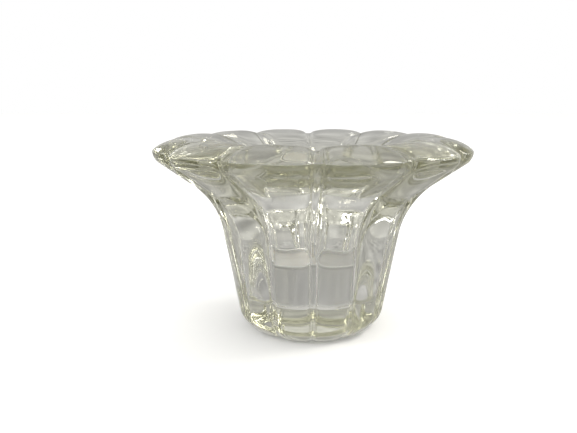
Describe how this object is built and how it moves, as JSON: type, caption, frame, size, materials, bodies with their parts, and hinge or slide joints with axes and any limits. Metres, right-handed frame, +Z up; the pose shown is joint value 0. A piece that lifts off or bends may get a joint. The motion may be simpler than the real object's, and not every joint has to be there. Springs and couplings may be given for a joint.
{
  "type": "tealight holder",
  "caption": "Clear pressed-glass tealight holder with grooved panels, a deep round well and a thick flared petal rim, holding a lift-out tealight.",
  "frame": {"origin": "centre of the foot, on the surface that the holder stands on", "axes": "+Z up along the axis of the well; +X to the right and -Y towards the viewer; the panels repeat every 30 degrees about +Z"},
  "size_m": [0.1062, 0.1062, 0.0672],
  "materials": {
    "pressed_glass": "fire-polished clear pressed glass with a faint grey-olive tint",
    "cup_aluminium": "bright rolled aluminium foil sheet, crimped wall",
    "candle_wax": "pressed white paraffin wax, satin",
    "tab_steel": "tin-plated steel",
    "wick_cotton": "braided cotton, waxed"
  },
  "bodies": {
    "holder": {"glass_holder": "pressed_glass"},
    "tealight": {"tealight_cup": "cup_aluminium", "tealight_wax": "candle_wax", "wick_tab": "tab_steel", "tealight_wick": "wick_cotton"}
  },
  "joints": [
    {"name": "tealight_lift", "type": "slide", "parent": "holder", "child": "tealight", "axis": [0, 0, 1], "range_m": [0, 0.075]}
  ]
}
